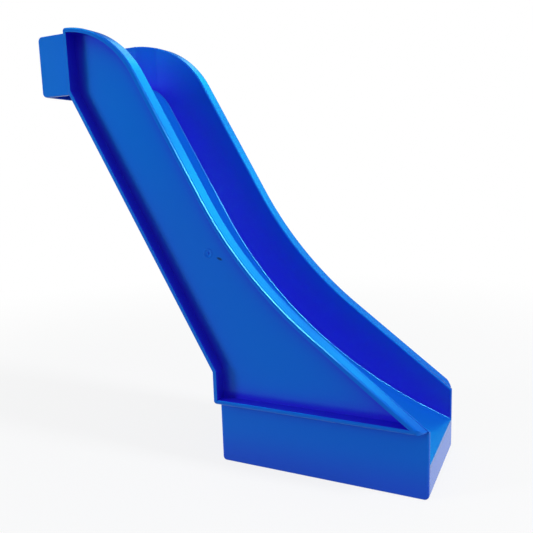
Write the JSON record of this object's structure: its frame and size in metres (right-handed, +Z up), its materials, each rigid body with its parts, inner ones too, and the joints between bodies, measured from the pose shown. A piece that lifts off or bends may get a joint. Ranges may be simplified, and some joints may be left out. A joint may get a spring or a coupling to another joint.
{
  "type": "toy slide",
  "caption": "Straight toy slide moulded in blue plastic: raised side rails, a chute with a hollow bend, a box base with a stud socket, and a hook for a brick tower.",
  "frame": {"origin": "bottom centre of the bounding box, on the surface that the base stands on", "axes": "+X towards the front, the way a figure leaves the slide; +Y towards the slide's left side; +Z up"},
  "size_m": [0.1278, 0.0434, 0.1344],
  "materials": {
    "blue_plastic": "gloss, through-coloured injection-moulded plastic"
  },
  "bodies": {
    "root": {"chute_bed": "blue_plastic", "left_side_web": "blue_plastic", "right_side_web": "blue_plastic", "left_rail_rim": "blue_plastic", "right_rail_rim": "blue_plastic", "left_rear_rib": "blue_plastic", "right_rear_rib": "blue_plastic", "left_diagonal_rib": "blue_plastic", "right_diagonal_rib": "blue_plastic", "left_heel_rib": "blue_plastic", "right_heel_rib": "blue_plastic", "left_bottom_rib": "blue_plastic", "right_bottom_rib": "blue_plastic", "base_left_wall": "blue_plastic", "base_right_wall": "blue_plastic", "base_front_wall": "blue_plastic", "base_rear_wall": "blue_plastic", "base_deck": "blue_plastic", "front_clutch_tube": "blue_plastic", "middle_clutch_tube": "blue_plastic", "rear_clutch_tube": "blue_plastic", "left_grip_ribs": "blue_plastic", "right_grip_ribs": "blue_plastic", "front_grip_ribs": "blue_plastic", "rear_grip_ribs": "blue_plastic", "hook_floor": "blue_plastic", "hook_left_cheek": "blue_plastic", "hook_right_cheek": "blue_plastic", "hook_rear_wall": "blue_plastic", "hook_front_wall": "blue_plastic", "left_hook_jamb": "blue_plastic", "right_hook_jamb": "blue_plastic", "hook_clutch_pin": "blue_plastic", "hook_grip_ribs": "blue_plastic"}
  },
  "joints": []
}
